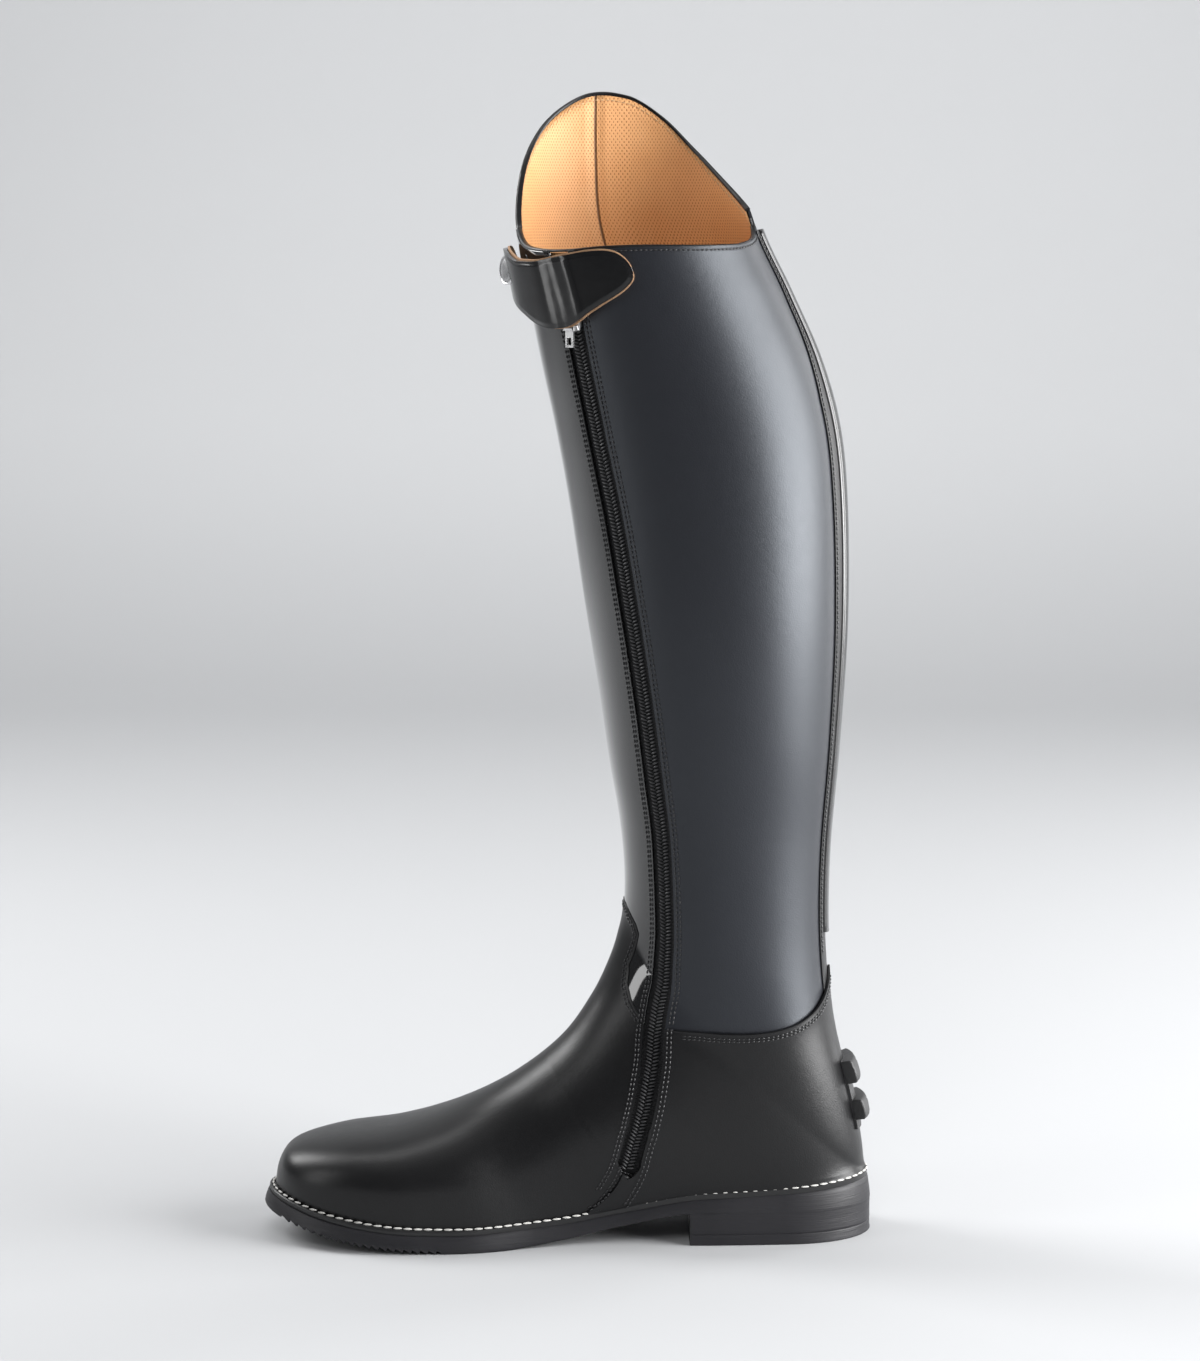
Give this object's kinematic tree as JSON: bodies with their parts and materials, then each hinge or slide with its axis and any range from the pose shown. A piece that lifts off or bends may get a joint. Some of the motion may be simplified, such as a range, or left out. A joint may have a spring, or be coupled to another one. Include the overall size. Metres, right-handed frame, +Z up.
{
  "type": "riding boot",
  "caption": "Tall leather riding boot for the right leg with a raised outer crown, an inner zip under a snapped strap, a ribbed spur rest and a welted rubber sole.",
  "frame": {"origin": "on the ground under the middle of the heel", "axes": "+X to the toe, +Y to the inner side of the leg, where the zip is, +Z up the leg"},
  "size_m": [0.2757, 0.1051, 0.513],
  "materials": {
    "calf_leather": "satin",
    "patent_leather": "gloss",
    "tan_leather": "matte",
    "black_rubber": "satin",
    "silver_metal": "satin",
    "zip_tape": "matte"
  },
  "bodies": {
    "boot": {"outsole": "black_rubber", "heel": "black_rubber", "heel_lift": "black_rubber", "welt": "black_rubber", "insole": "tan_leather", "upper": "calf_leather", "vamp": "calf_leather", "counter": "calf_leather", "back_stay": "patent_leather", "elastic_gusset": "zip_tape", "zip_tape": "zip_tape", "zip_chain": "zip_tape", "zip_slider": "silver_metal", "strap": "patent_leather", "snap_cap": "silver_metal", "spur_rest": "black_rubber"},
    "pull": {"zip_pull": "silver_metal"}
  },
  "joints": [
    {"name": "pull_hinge", "type": "hinge", "parent": "boot", "child": "pull", "pos_m": [0.09461, 0.04041, 0.40958], "axis": [0.7747, -0.6323, 0], "range_deg": [-24, 80]}
  ]
}
